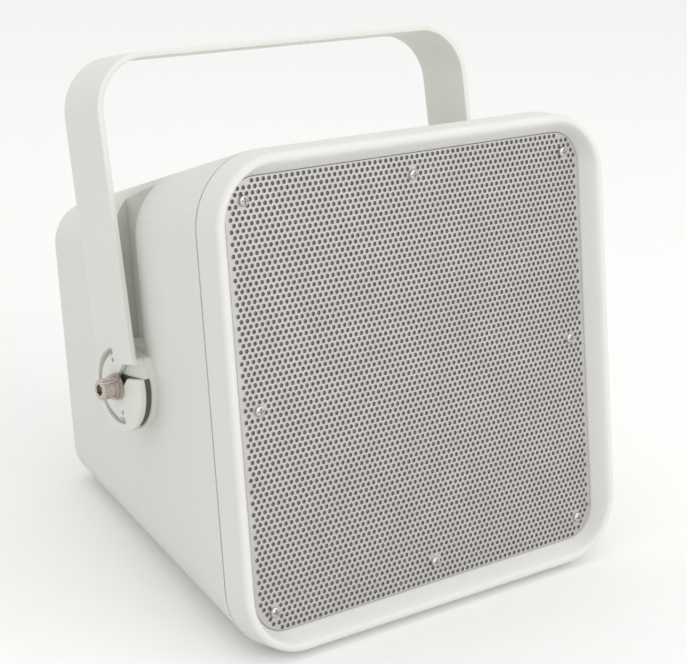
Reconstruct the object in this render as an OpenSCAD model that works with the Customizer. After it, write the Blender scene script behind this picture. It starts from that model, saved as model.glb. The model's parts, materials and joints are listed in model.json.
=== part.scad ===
// Horn speaker: a square, tapered cabinet with a perforated front and a tilting U bracket.
// The cabinet is drawn in its own frame first: X to the right, Y along the horn's axis from
// the front to the back, Z up, with the grille's front face at Y = 0. The whole speaker is
// then leaned back until the flat underside of the tapered cabinet lies on Z = 0.

/* [Mouth and rim] */
// Width and height of the opening that the grille fills
mouth_w = 204; // [180:2:280]
// Corner radius of that opening
mouth_r = 16; // [12:1:22]
// Width of the rim, from the opening to the outside at the parting line
rim_w = 10.2; // [9.5:0.1:14]
// How far the rim's crest stands in front of the grille
rim_front = 8.4; // [7:0.2:11]
// How far the parting line lies behind the grille's face
rim_back = 7.2; // [7:0.1:10]
// How much each side of the rim draws in towards the front
rim_draft = 0.9; // [0.5:0.1:2]
// Radius that rounds the outer side of the rim's crest
rim_round = 2.4; // [1.6:0.1:3.2]
// Width of the narrow flat along the rim's crest
crest_w = 0.4; // [0.2:0.1:1]
// Outer corner radius at the parting line
corner_r = 32.6; // [26:0.2:38]

/* [Rear housing] */
// Depth of the rear housing behind the parting line
body_depth = 211.3; // [196:0.1:240]
// Width and height of the housing's rear end
rear_w = 147.8; // [136:0.2:160]
// Corner radius at the rear end
rear_r = 20.2; // [17:0.2:26]
// How far the rear end is set below the horn's axis
rear_drop = 2.9; // [0:0.1:5]
// Radius round the edge of the rear face
rear_round = 6; // [4:0.5:8]
// Wall thickness of the mouldings
wall = 3; // [2.5:0.1:3.4]
// Width of the lip round the housing's open front
lip_w = 9; // [8:0.2:9.2]
// Thickness of the seal in the parting line
seal_t = 0.8; // [0.6:0.1:1.2]
// How far the seal stays back from the outside
seal_inset = 1.2; // [0.8:0.1:2]

/* [Side recess] */
// Front edge of the recess beside each bracket arm, behind the grille
recess_front = 84; // [80:1:90]
// Depth of the recess at its front edge
recess_depth = 14; // [12:0.5:15]
// Height of the recess's lower end above the horn's axis
recess_low = 17; // [14:0.5:19]
// Length of the recess from front to back
recess_len = 31; // [28:1:36]
// Height of the pivot boss's flat top above the horn's axis
boss_top = 14.5; // [13:0.5:16]
// Height of the flat that the friction pad's top lies against
lug_low = 5.5; // [5:0.5:7]

/* [Bracket] */
// Distance of the pivot behind the grille's face
pivot_back = 94.3; // [92:0.1:98]
// How far each arm's outer face lies inside the cabinet's full width
arm_inset = 2.9; // [2:0.1:3.6]
// Width of the strap
strap_w = 33.2; // [28:0.2:36]
// Thickness of the strap
strap_t = 3; // [2.5:0.1:4]
// Outer radius of the strap's two bends
bend_r = 27.2; // [20:0.2:34]
// Gap between the top bar and the cabinet's rear corner as the bracket swings
bar_gap = 4.3; // [3:0.1:10]
// Radius of the round end of each arm
disc_r = 21.9; // [20.5:0.1:23]
// Lean of the bracket, back from the plane of the front, as it stands
bracket_lean = 4.9; // [0:0.1:10]
// Radius of the arc slot round the pivot
arc_r = 16.5; // [15:0.1:17]
// Width of the arc slot
arc_w = 3.2; // [2.6:0.1:3.4]
// Angle that the arc slot spans
arc_span = 180; // [140:2:190]
// Angle of the arc slot's middle, below straight back
arc_drop = 7; // [0:1:12]
// Direction of the hook slot's first leg, from straight back
hook_angle = 140; // [134:1:144]
// Length of that leg, from the pivot to where the slot turns to the front
hook_leg = 11.5; // [11:0.5:12.5]
// Radius of the index holes by the ends of the arc slot
index_r = 1.1; // [0.8:0.1:1.3]
// Distance of the index holes from the pivot
index_at = 12.6; // [12:0.1:12.9]
// Distance between the two fixing holes in the top bar
fix_pitch = 70; // [60:1:90]
// Radius of the two fixing holes
fix_r = 3.5; // [2.6:0.1:4.5]
// Radius of the hole in the middle of the top bar
stud_r = 5.5; // [4:0.1:6.5]

/* [Pivot hardware] */
// Thread diameter of the pivot screws
pivot_d = 6; // [5:1:6]
// Head diameter of the pivot screws
pivot_head_d = 10; // [9:0.5:11]
// Head height of the pivot screws
pivot_head_h = 6; // [5:0.5:7]
// Length of the pivot screws under the head
pivot_len = 20; // [18:0.5:21]
// Hexagon key size of the pivot screws
key_w = 5; // [4:0.5:5]
// Outer diameter of the plain washers
washer_d = 13; // [12:0.5:15]
// Thickness of the plain washers
washer_t = 1.6; // [1:0.1:2]
// Outer diameter of the spring washers
spring_d = 11.4; // [10:0.2:12]
// Thickness of the spring washers
spring_t = 1.8; // [1.2:0.1:2.2]
// Thickness of the friction pads
pad_t = 3; // [2:0.1:3.2]
// How far the edge of a friction pad stays inside the round end
pad_inset = 1; // [0.5:0.1:2]
// Radius of the middle of a friction pad
pad_core = 11.5; // [10:0.5:12]
// Distance in front of the pivot where a pad widens to its full radius
pad_front = 9; // [7:0.5:11]
// Outer diameter of the threaded inserts
insert_d = 8.4; // [8:0.1:10]
// Length of the threaded inserts
insert_len = 12; // [10:0.5:12]

/* [Grille] */
// Thickness of the grille's sheet
grille_t = 1; // [0.8:0.1:1.4]
// Gap round the grille in its opening
grille_gap = 0.3; // [0.2:0.05:0.6]
// Distance between the centres of neighbouring holes
hole_pitch = 12; // [10:1:20]
// Width of each hole across its corners
hole_d = 8.4; // [4:0.2:8.8]
// Plain margin round the holes
grille_margin = 8; // [6:0.5:14]
// Distance of the corner screws from the edge of the opening
screw_inset = 10; // [9:0.5:11]
// Head diameter of the grille screws
grille_head_d = 5.2; // [4.6:0.2:7]
// Head height of the grille screws
grille_head_h = 1.7; // [1.4:0.1:2.6]
// Thread diameter of the grille screws
grille_screw_d = 2.5; // [2.2:0.1:3.2]
// Thickness of the acoustic cloth behind the grille
cloth_t = 0.6; // [0.4:0.1:1]
// Thickness of the ledge that carries the grille
ledge_t = 3.6; // [3:0.1:4.5]

/* [Horn and frame screws] */
// Radius of the horn's mouth
horn_mouth_r = 84; // [74:1:84]
// Radius of the horn's throat
throat_r = 12.5; // [11:0.5:13]
// Depth of the throat behind the grille's face
throat_back = 128; // [122:1:134]
// Wall thickness of the horn
horn_wall = 2.5; // [2:0.1:3]
// Thickness of the flange round the horn's mouth
flange_t = 3; // [2.5:0.1:3.6]
// Distance of each frame screw from the edge of the opening, both across and up
post_inset = 21; // [20:0.5:23]
// Outer diameter of the screw posts in the housing
post_d = 11; // [10:0.5:12]
// Length of the screw posts
post_len = 26; // [24:1:32]
// Thread diameter of the frame screws
frame_screw_d = 4; // [3:0.5:4]
// Length of the frame screws under the head
frame_screw_len = 24; // [20:1:24]
// Head diameter of the frame screws
frame_head_d = 8; // [6.5:0.5:8]

/* [Driver] */
// Radius of the driver's front plate
plate_r = 34; // [33:0.5:38]
// Thickness of the driver's front plate
plate_t = 8; // [7:0.5:10]
// Thickness of the gasket at the throat
gasket_t = 1; // [0.5:0.1:1.5]
// Radius of the diaphragm's dome
dome_r = 20; // [18:0.5:21]
// Height of the dome
dome_h = 6; // [5:0.5:7]
// Thickness of the diaphragm
film_t = 0.6; // [0.4:0.1:0.8]
// Radius of the diaphragm's clamped rim
rim_film_r = 28; // [26:0.5:29]
// Thickness of the steel pole plate
pole_t = 5; // [4:0.5:6]
// Width of the gap that the voice coil works in
coil_gap = 1.8; // [1.6:0.1:2.4]
// Thickness of the voice coil
coil_t = 0.8; // [0.6:0.1:1]
// Outer radius of the magnet ring
magnet_r = 42; // [40:0.5:46]
// Thickness of the magnet ring
magnet_t = 15; // [12:0.5:16]
// Thickness of the steel back plate
back_t = 6; // [5:0.5:7]
// Radius of the circle of driver screws
driver_pcd_r = 31; // [30.5:0.1:31.2]
// Thread diameter of the driver screws
driver_screw_d = 3; // [2.5:0.1:3]

/* [Transformer and terminals] */
// Width of the transformer's core
core_w = 46; // [42:1:52]
// Height of the transformer's core
core_h = 38; // [34:1:42]
// Depth of the transformer's stack of laminations
core_d = 16; // [14:0.5:18]
// Width of the core's middle leg
leg_w = 14; // [12:0.5:15]
// Height of the transformer above the middle of the rear wall
trans_z = 18; // [14:1:22]
// Height of the two stand-offs that carry the clamp
stand_off = 8; // [7:0.5:10]
// Thickness of the clamp's sheet
clamp_t = 1.2; // [1:0.1:1.6]
// Width of the terminal block
block_w = 32; // [28:1:36]
// Height of the terminal block
block_h = 16; // [14:1:18]
// Depth of the terminal block
block_d = 11; // [10:0.5:13]
// Distance of the terminal block's middle from the centre line
block_x = 38; // [36:1:40]
// Distance between the ways of the terminal block
way_pitch = 7; // [6:0.5:8]
// Width of each foot of the clamp
foot_w = 12; // [10:1:14]
// How far each foot of the clamp runs on past its screw
foot_end = 5; // [4:0.5:6]
// Diameter of the lead wires
wire_d = 1.8; // [1.6:0.1:2.2]

/* [Cable gland] */
// Height of the gland below the middle of the rear wall
gland_drop = 36; // [34:0.5:40]
// Thread diameter of the gland
gland_d = 16; // [14:0.5:18]
// Size of the gland's hexagon, across its corners
gland_hex = 25; // [23:0.5:28]
// Thickness of the gland's hexagon flange
gland_flange = 5; // [4:0.5:5.5]
// Thickness of the gland's locknut
nut_t = 5; // [4:0.5:6]
// Length of the gland's thread inside the rear wall
thread_in = 8; // [7:0.5:9]
// Length of the gland's cap
gland_cap_len = 9; // [8:0.5:9.5]
// Diameter of the cable that the gland takes
cable_d = 8; // [6:0.2:8.4]

/* [Hidden] */
fit = 0.15;      // running gap between flat faces
hair = 0.01;     // thickness of a loft's section
over = 1;        // how far a cut runs past a face
block_foot = 4;  // stand-off under the terminal block
way_lid = 2;     // thickness of the block in front of its ways
way_w = 3.2;     // width of a way
cream = [0.85, 0.855, 0.82];
steel = [0.72, 0.70, 0.69];

half_w = mouth_w / 2 + rim_w;
rear_half = rear_w / 2;
rear_y = rim_back + body_depth;
frame_y = rim_back - seal_t / 2;
house_y = rim_back + seal_t / 2;

// Shape of the cabinet at a depth y: half width, corner radius, and middle height
function share(y) = (y - rim_back) / body_depth;
function half_at(y) = half_w + (rear_half - half_w) * share(y);
function round_at(y) = corner_r + (rear_r - corner_r) * share(y);
function mid_at(y) = -rear_drop * share(y);

// The underside's slope, and the depth and height that put it on the ground
rest_tilt = atan((half_w - rear_half - rear_drop) / body_depth);
seat_h = half_w * cos(rest_tilt) + rim_back * sin(rest_tilt);
seat_y = rim_back + body_depth / 2;
seat_z = half_w - (half_w - rear_half - rear_drop) / 2;
seat_mid = seat_y * cos(rest_tilt) - seat_z * sin(rest_tilt);

// Bracket
arm_out = half_w - arm_inset;
arm_in = arm_out - strap_t;
pad_out = arm_in - fit;
boss_x = pad_out - pad_t;
swing_r = sqrt(pow(rear_y - pivot_back, 2) + pow(rear_half + rear_drop, 2)) + bar_gap;
strap_h = swing_r + strap_t;
boss_in = half_at(pivot_back + disc_r) - wall - 0.5;
recess_x = half_at(recess_front) - recess_depth;
hole_r = pivot_d / 2 + 0.4;

// Hook slot, as points [y, z] from the pivot: the sides of its leg, and how far up the leg a height lies
hook_z = hook_leg * sin(hook_angle);
function hook_side(d, s) =
    [d * cos(hook_angle) + s * hole_r * sin(hook_angle), d * sin(hook_angle) - s * hole_r * cos(hook_angle)];
function leg_to(z, s) = (z + s * hole_r * cos(hook_angle)) / sin(hook_angle);
washer_x = arm_out + fit;
spring_x = washer_x + washer_t;
head_x = spring_x + spring_t;

// Front
ledge_y = grille_t + cloth_t;
flange_y = ledge_y + ledge_t;
post_y = flange_y + flange_t;
screw_at = mouth_w / 2 - screw_inset;
post_at = mouth_w / 2 - post_inset;
horn_hole_r = horn_mouth_r + horn_wall + 0.3;

// Driver, from the throat back
gasket_y = throat_back;
plate_y = gasket_y + gasket_t;
film_y = plate_y + plate_t;
pole_y = film_y + film_t;
magnet_y = pole_y + pole_t;
back_y = magnet_y + magnet_t;
pole_r = dome_r - (coil_gap - coil_t) / 2;
gap_r = dome_r + (coil_gap + coil_t) / 2;

// Rear wall and what it carries
rear_in = rear_y - wall;
mid_z = -rear_drop;
core_y = rear_in - stand_off - clamp_t - core_d;
gland_z = mid_z - gland_drop;
trans_mid = mid_z + trans_z;
window_w = (core_w - leg_w) / 4;
foot_at = core_w / 2 + 1.8 * foot_end;
block_y = rear_in - block_foot - block_d;
way_y = block_y + way_lid;

module along_y(r, y0, y1, x = 0, z = 0, n = 64)
    translate([x, y0, z]) rotate([-90, 0, 0]) cylinder(r = r, h = y1 - y0, $fn = n);

module along_x(r, x0, x1, y = 0, z = 0, n = 64)
    translate([x0, y, z]) rotate([0, 90, 0]) cylinder(r = r, h = x1 - x0, $fn = n);

// Straight block with rounded corners, from y0 to y1
module rounded_block(a, r, y0, y1, zc = 0) translate([0, 0, zc]) {
    translate([-a, y0, -(a - r)]) cube([2 * a, y1 - y0, 2 * (a - r)]);
    translate([-(a - r), y0, -a]) cube([2 * (a - r), y1 - y0, 2 * a]);
    for (sx = [-1, 1], sz = [-1, 1]) along_y(r, y0, y1, sx * (a - r), sz * (a - r));
}

// One thin section of a loft: its four corner discs
module section(a, r, y, zc = 0)
    for (sx = [-1, 1], sz = [-1, 1])
        translate([sx * (a - r), y, zc + sz * (a - r)]) rotate([-90, 0, 0]) cylinder(r = r, h = hair, $fn = 40);

// The housing's outside, and its inside where in is the wall
module housing_loft(in, y0, y1) {
    rr = max(rear_round - in, 1);
    hull() {
        section(half_at(y0) - in, round_at(y0) - in, y0, mid_at(y0));
        for (a = [0, 45, 90]) {
            y = y1 - rr * (1 - cos(a)) - hair;
            section(half_at(y) - in - rr * (1 - sin(a)), round_at(y) - in - rr * (1 - sin(a)), y, mid_at(y));
        }
    }
}

// Leans the cabinet back onto its underside
module seated() translate([0, -seat_mid, seat_h]) rotate([-rest_tilt, 0, 0]) children();

module grille_screw_places() for (x = [-1, 0, 1], z = [-1, 0, 1])
    if (x != 0 || z != 0) translate([x * screw_at, 0, z * screw_at]) children();

module corners(p) for (sx = [-1, 1], sz = [-1, 1]) translate([sx * p, 0, sz * p]) children();

// Inside of the rim: a bead that swells from the edge of the opening to the crest
crest_half = half_w - rim_draft - rim_round - crest_w;
crest_r = corner_r - rim_draft - rim_round - crest_w;
bead = [[0, 0], [0.42, 0.55], [0.72, 1], [1, 1]];
function bead_at(t, k) = 3 * t * pow(1 - t, 2) * bead[1][k] + 3 * t * t * (1 - t) * bead[2][k] + pow(t, 3);
module bead_section(t) {
    o = bead_at(t, 0);
    section(mouth_w / 2 + o * (crest_half - mouth_w / 2), mouth_r + o * (crest_r - mouth_r), -rim_front * bead_at(t, 1));
}

module front_frame() color(cream) seated() difference() {
    hull() {
        section(half_w, corner_r, frame_y - hair);
        for (a = [0, 30, 60, 90]) {
            d = rim_round * (1 - cos(a));
            section(half_w - rim_draft - d, corner_r - rim_draft - d, -rim_front + rim_round * (1 - sin(a)));
        }
    }
    for (i = [0:4]) hull() {
        bead_section(i / 5);
        bead_section((i + 1) / 5);
    }
    hull() {
        bead_section(1);
        section(crest_half, crest_r, -rim_front - over);
    }
    rounded_block(mouth_w / 2, mouth_r, 0, ledge_y);
    along_y(horn_hole_r, 0, rim_back + over, n = 96);
    rounded_block(mouth_w / 2 - 1, mouth_r + 5, flange_y, rim_back + over);
    grille_screw_places() along_y(grille_screw_d / 2, ledge_y - over, flange_y - 0.8, n = 32);
    corners(post_at) {
        along_y(frame_screw_d / 2 + 0.2, 0, rim_back + over, n = 32);
        along_y(frame_head_d / 2 + 0.2, 0, ledge_y + frame_screw_d / 2, n = 32);
    }
}

module grille() color([0.78, 0.76, 0.74]) seated() difference() {
    rounded_block(mouth_w / 2 - grille_gap, mouth_r - grille_gap, 0, grille_t);
    grille_screw_places() along_y(grille_screw_d / 2 + 0.2, -over, grille_t + over, n = 32);
    reach = mouth_w / 2 - grille_margin - hole_d / 2;
    row = hole_pitch * sqrt(3) / 2;
    rows = floor(reach / row);
    corner = mouth_r - grille_margin / 2;
    keep = grille_head_d / 2 + hole_d / 2 + 0.3;
    for (j = [-rows:rows]) {
        shift = abs(j) % 2 == 1 ? hole_pitch / 2 : 0;
        n = floor((reach - shift) / hole_pitch);
        for (i = [shift > 0 ? -n - 1 : -n : n]) {
            x = i * hole_pitch + shift;
            z = j * row;
            clear = min([for (sx = [-1, 0, 1], sz = [-1, 0, 1]) if (sx != 0 || sz != 0)
                         norm([x - sx * screw_at, z - sz * screw_at])]);
            cut_corner = abs(x) > reach - corner && abs(z) > reach - corner
                && norm([abs(x) - reach + corner, abs(z) - reach + corner]) > corner;
            if (clear > keep && !cut_corner)
                translate([x, -over, z]) rotate([-90, 30, 0]) cylinder(r = hole_d / 2, h = grille_t + 2 * over, $fn = 6);
        }
    }
}

module grille_screws() color(steel) seated() grille_screw_places() {
    difference() {
        along_y(grille_head_d / 2, -grille_head_h, 0, n = 48);
        translate([-grille_head_d / 2 * 0.6, -grille_head_h - over, -0.45]) cube([grille_head_d * 0.6, over + 0.8, 0.9]);
        translate([-0.45, -grille_head_h - over, -grille_head_d / 2 * 0.6]) cube([0.9, over + 0.8, grille_head_d * 0.6]);
    }
    along_y(grille_screw_d / 2, 0, flange_y - 1, n = 32);
}

module grille_cloth() color([0.08, 0.08, 0.09]) seated() difference() {
    rounded_block(mouth_w / 2 - 1, mouth_r - 1, grille_t + 0.05, ledge_y - 0.05);
    grille_screw_places() along_y(grille_screw_d / 2 + 0.4, 0, ledge_y + over, n = 32);
}

module frame_seal() color([0.12, 0.12, 0.13]) seated() difference() {
    rounded_block(half_w - seal_inset, corner_r - seal_inset, frame_y, house_y);
    rounded_block(half_w - lip_w + 0.6, corner_r - lip_w + 0.6, frame_y - over, house_y + over);
}

// What is cut out behind each arm: a channel, straight in from the side to a flat floor
module recess(grow) for (s = [-1, 1]) mirror([s < 0 ? 1 : 0, 0, 0])
    translate([recess_x - grow, recess_front - grow, recess_low - grow])
        cube([half_w, recess_len + 2 * grow, half_w + 2 * grow]);

module rear_housing() color(cream) seated() difference() {
    union() {
        difference() {
            housing_loft(0, house_y, rear_y);
            difference() {
                housing_loft(wall, house_y + 3.4, rear_in);
                recess(wall);
            }
            rounded_block(half_w - lip_w, corner_r - lip_w, house_y - over, house_y + 3.5);
        }
        // Pivot bosses with a flat top, and above each pad a lug that keeps the pad from turning
        both_sides() {
            intersection() {
                union() {
                    along_x(disc_r, boss_in, boss_x, pivot_back, n = 96);
                    translate([0, 0, lug_low]) intersection() {
                        along_x(disc_r - pad_inset, boss_x - over, pad_out, pivot_back, -lug_low, n = 96);
                        translate([0, pivot_back - disc_r, 0]) cube([half_w, 2 * disc_r, disc_r]);
                    }
                }
                translate([0, pivot_back - disc_r, -disc_r]) cube([half_w, 2 * disc_r, disc_r + boss_top]);
            }
            along_x(insert_d / 2 + 3, boss_x - insert_len - 5, boss_in + 1, pivot_back);
        }
        // Screw posts, each held to its corner by a web
        intersection() {
            housing_loft(0.2, house_y, rear_y - 0.2);
            for (sx = [-1, 1], sz = [-1, 1]) translate([sx * post_at, 0, sz * post_at]) {
                along_y(post_d / 2, post_y, post_y + post_len, n = 48);
                rotate([0, sz * (2 - sx) * -45, 0]) translate([0, post_y + 3, -1.2]) cube([2 * corner_r, post_len - 6, 2.4]);
            }
        }
        // Stand-offs for the transformer and the terminal block
        for (s = [-1, 1]) along_y(3.6, rear_in - stand_off, rear_in + 1, s * foot_at, trans_mid, 32);
        block_fixings() along_y(3.2, rear_in - block_foot, rear_in + 1, n = 32);
    }
    recess(0);
    both_sides() {
        along_x(insert_d / 2, boss_x - insert_len, boss_x + over, pivot_back);
        along_x(pivot_d / 2 + 0.2, boss_x - insert_len - 3.5, boss_x, pivot_back);
    }
    corners(post_at) along_y(frame_screw_d / 2, post_y - over, post_y + post_len - 3, n = 32);
    for (s = [-1, 1]) along_y(1.4, rear_in - stand_off - over, rear_in - 1, s * foot_at, trans_mid, 32);
    block_fixings() along_y(1.2, rear_in - block_foot - over, rear_in - 1, n = 32);
    along_y(gland_d / 2, rear_in - over, rear_y + over, 0, gland_z);
}

module frame_screws() color(steel) seated() corners(post_at) {
    y = ledge_y + frame_screw_d / 2;
    difference() {
        along_y(frame_head_d / 2, ledge_y + 0.1, y, n = 48);
        for (a = [0, 90]) rotate([0, a, 0]) translate([-frame_head_d * 0.3, ledge_y - over, -0.5]) cube([frame_head_d * 0.6, over + 1, 1]);
    }
    along_y(frame_screw_d / 2, y, y + frame_screw_len, n = 32);
}

// Exponential horn: radius at depth y
flare_k = ln(horn_mouth_r / throat_r) / (throat_back - flange_y);
function flare(y) = throat_r * exp(flare_k * (throat_back - y));
steps = 16;
depths = [for (i = [0:steps]) flange_y + (throat_back - flange_y) * i / steps];

module horn_flare() color([0.25, 0.25, 0.27]) seated() difference() {
    union() {
        rotate([-90, 0, 0]) rotate_extrude($fn = 96) polygon(concat(
            [for (y = depths) [flare(y), y]],
            [for (i = [steps:-1:0]) [flare(depths[i]) + horn_wall, depths[i]]]));
        difference() {
            rounded_block(mouth_w / 2 - 2, mouth_r + 4, flange_y, post_y);
            along_y(horn_mouth_r + horn_wall / 2, flange_y - over, post_y + over, n = 96);
        }
        difference() {
            along_y(plate_r, throat_back - 4, throat_back);
            along_y(throat_r + horn_wall / 2, throat_back - 5, throat_back + over);
        }
    }
    corners(post_at) along_y(frame_screw_d / 2 + 0.2, flange_y - over, post_y + over, n = 32);
    driver_holes() along_y(driver_screw_d / 2 + 0.2, throat_back - 5, throat_back + over, n = 32);
}

module driver_holes() for (a = [45:90:315]) rotate([0, a, 0]) translate([driver_pcd_r, 0, 0]) children();

module throat_gasket() color([0.15, 0.15, 0.15]) seated() difference() {
    along_y(driver_pcd_r - driver_screw_d / 2 - 1, gasket_y, plate_y);
    along_y(throat_r, gasket_y - over, plate_y + over);
}

module driver_plate() color([0.7, 0.71, 0.72]) seated() difference() {
    along_y(plate_r, plate_y, film_y);
    along_y(throat_r, plate_y - over, film_y + over);
    translate([0, film_y - 3, 0]) rotate([-90, 0, 0]) cylinder(r1 = throat_r, r2 = dome_r + 1, h = 3 + hair, $fn = 64);
    driver_holes() along_y(driver_screw_d / 2, plate_y - over, film_y - 1.5, n = 32);
}

module phase_plug() color([0.2, 0.2, 0.22]) seated() difference() {
    union() {
        translate([0, plate_y, 0]) rotate([-90, 0, 0]) cylinder(r1 = 2, r2 = throat_r - 4, h = plate_t - 3, $fn = 48);
        for (a = [0, 120, 240]) rotate([0, a, 0])
            translate([1, plate_y + 1.5, -0.6]) cube([throat_r - 1.1, plate_t - 5, 1.2]);
    }
    translate([0, plate_y, 0]) along_y(1, 1, plate_t, n = 24);
}

// Dome that bows back from its clamped rim, away from the plug
dome_R = (dome_r * dome_r + dome_h * dome_h) / (2 * dome_h);
module diaphragm() color([0.82, 0.62, 0.3]) seated() {
    difference() {
        along_y(rim_film_r, film_y, film_y + film_t);
        along_y(dome_r - 1, film_y - over, film_y + film_t + over);
    }
    difference() {
        intersection() {
            translate([0, film_y + film_t + dome_h - dome_R, 0]) rotate([-90, 0, 0]) sphere(r = dome_R, $fn = 72);
            along_y(dome_r, film_y, film_y + film_t + dome_h);
        }
        translate([0, film_y + film_t + dome_h - dome_R, 0]) rotate([-90, 0, 0]) sphere(r = dome_R - film_t, $fn = 72);
    }
}

module voice_coil() color([0.72, 0.42, 0.2]) seated() difference() {
    along_y(dome_r + coil_t, film_y + film_t, magnet_y + 3);
    along_y(dome_r, film_y, magnet_y + 4);
}

module pole_plate() color([0.45, 0.46, 0.48]) seated() difference() {
    along_y(plate_r, pole_y, magnet_y);
    along_y(gap_r, pole_y - over, magnet_y + over);
}

module magnet() color([0.16, 0.16, 0.17]) seated() difference() {
    along_y(magnet_r, magnet_y, back_y, n = 96);
    along_y(gap_r + 3, magnet_y - over, back_y + over);
}

module back_plate() color([0.45, 0.46, 0.48]) seated() {
    along_y(plate_r + 2, back_y, back_y + back_t);
    along_y(pole_r, pole_y + dome_h + 0.5, back_y);
}

module driver_screws() color(steel) seated() driver_holes() {
    along_y(driver_screw_d, throat_back - 4 - driver_screw_d * 0.7, throat_back - 4, n = 32);
    along_y(driver_screw_d / 2, throat_back - 4, film_y - 2, n = 32);
}

module transformer_core() color([0.35, 0.34, 0.34]) seated() difference() {
    translate([-core_w / 2, core_y, trans_mid - core_h / 2]) cube([core_w, core_d, core_h]);
    for (s = [-1, 1]) translate([s * (leg_w / 2 + window_w / 2) - window_w / 2, core_y - over, trans_mid - core_h / 2 + leg_w / 2])
        cube([window_w, core_d + 2 * over, core_h - leg_w]);
}

module transformer_coil() color([0.75, 0.6, 0.25]) seated() difference() {
    translate([-leg_w / 2 - window_w + fit, core_y - window_w + 1, trans_mid - core_h / 2 + leg_w / 2 + fit])
        cube([leg_w + 2 * window_w - 2 * fit, core_d + 2 * window_w - 2, core_h - leg_w - 2 * fit]);
    translate([-leg_w / 2 - fit, core_y - fit, trans_mid - core_h / 2])
        cube([leg_w + 2 * fit, core_d + 2 * fit, core_h]);
}

// Sheet strap round the core, with two feet on the stand-offs
module transformer_clamp() color([0.66, 0.67, 0.68]) seated() {
    w = core_w / 2;
    for (s = [-1, 1]) difference() {
        union() {
            translate([s > 0 ? w : -w - clamp_t, core_y, trans_mid - core_h / 2]) cube([clamp_t, core_d + clamp_t, core_h]);
            translate([s > 0 ? w : -foot_at - foot_end, core_y + core_d, trans_mid - foot_w / 2]) cube([foot_at + foot_end - w, clamp_t, foot_w]);
            translate([s > 0 ? w - 3 : -w - clamp_t, core_y - clamp_t, trans_mid - core_h / 2]) cube([3 + clamp_t, clamp_t, core_h]);
        }
        along_y(1.6, core_y + core_d - over, core_y + core_d + clamp_t + over, s * foot_at, trans_mid, 32);
    }
}

module transformer_screws() color(steel) seated() for (s = [-1, 1]) {
    y = core_y + core_d;
    along_y(2.8, y - 2, y, s * foot_at, trans_mid, 32);
    along_y(1.4, y, y + clamp_t + stand_off - over, s * foot_at, trans_mid, 32);
}

module terminal_places() for (i = [-1, 0, 1]) translate([-block_x + i * way_pitch, 0, gland_z]) children();

module block_fixings() for (s = [-1, 1]) translate([-block_x + s * (block_w / 2 - 4), 0, gland_z]) children();

module terminal_block() color([0.9, 0.9, 0.86]) seated() difference() {
    translate([-block_x - block_w / 2, block_y, gland_z - block_h / 2]) cube([block_w, block_d, block_h]);
    terminal_places() {
        translate([-way_w / 2, way_y, -block_h / 2 - over]) cube([way_w, block_d - 3 * way_lid, block_h + 2 * over]);
        along_y(2, block_y - over, way_y + 0.1, n = 32);
    }
    block_fixings() {
        along_y(1.4, block_y - over, rear_in, n = 32);
        along_y(2.6, block_y - over, block_y + block_d / 2, n = 32);
    }
}

module terminal_screws() color(steel) seated() {
    terminal_places() {
        along_y(1.8, block_y + 0.4, way_y, n = 32);
        along_y(1.2, way_y, block_y + block_d - 2 * way_lid, n = 32);
    }
    block_fixings() {
        along_y(2.4, block_y + block_d / 2 - 1.8, block_y + block_d / 2, n = 32);
        along_y(1.2, block_y + block_d / 2, rear_in - 1.4, n = 32);
    }
}

// A wire swept along smoothed points, eight sides round
function unit(v) = v / norm(v);
function curve(p, t) = let (n = len(p) - 1, s = min(t * n, n - 0.0001), i = floor(s), u = s - i,
    a = p[max(i - 1, 0)], b = p[i], c = p[i + 1], d = p[min(i + 2, n)])
    0.5 * (2 * b + (c - a) * u + (2 * a - 5 * b + 4 * c - d) * u * u + (3 * b - a - 3 * c + d) * u * u * u);
module wire(p, rings = 20, n = 8) {
    pts = [for (k = [0:rings]) curve(p, k / rings)];
    dirs = [for (k = [0:rings]) unit(pts[min(k + 1, rings)] - pts[max(k - 1, 0)])];
    ring = [for (k = [0:rings]) let (a = unit(cross(dirs[k], [0.3, 0.1, 1])), b = cross(dirs[k], a))
        for (j = [0:n - 1]) pts[k] + wire_d / 2 * (a * cos(360 * j / n) + b * sin(360 * j / n))];
    polyhedron(ring, concat(
        [[for (j = [0:n - 1]) j]],
        [[for (j = [n - 1:-1:0]) rings * n + j]],
        [for (k = [0:rings - 1], j = [0:n - 1]) [k * n + j, (k + 1) * n + j, (k + 1) * n + (j + 1) % n, k * n + (j + 1) % n]]));
}

module lead_wires() color([0.6, 0.1, 0.1]) seated() {
    coil_y = core_y - window_w + 1;
    coil_face = coil_y - 0.1;
    plate_back = back_y + back_t;
    between = (coil_y + plate_back) / 2;
    way_mid = way_y + block_d / 2 - 3;
    for (s = [-1, 1]) {
        // From the coil's front, over the magnet, to the driver's front plate
        wire([[s * 5, coil_face, trans_mid + 6], [s * 5, between, trans_mid + 6], [s * 8, between, plate_r - 4],
              [s * 10, back_y + 4, magnet_r + 7], [s * 10, magnet_y + 4, magnet_r + 8], [s * 9, film_y + 2, magnet_r + 1],
              [s * 8, film_y - 4, plate_r + 1.2]], 28);
        // From the terminals up to the coil
        wire([[-block_x + s * way_pitch, way_mid, gland_z + 1.35], [-block_x + s * way_pitch, way_mid, gland_z + block_h / 4],
              [-block_x + s * way_pitch, way_mid, gland_z + block_h / 2 + 1], [-block_x + s * way_pitch, way_mid, gland_z + block_h / 2 + 6],
              [-core_w / 2 - 6 + s * 2.2, core_y - 4, trans_mid - 14], [-leg_w / 2 - window_w, between, trans_mid - 6 + s * 3],
              [-leg_w / 2, between, trans_mid - 6 + s * 3], [-leg_w / 2, coil_face, trans_mid - 6 + s * 3]], 36);
    }
}

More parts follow.
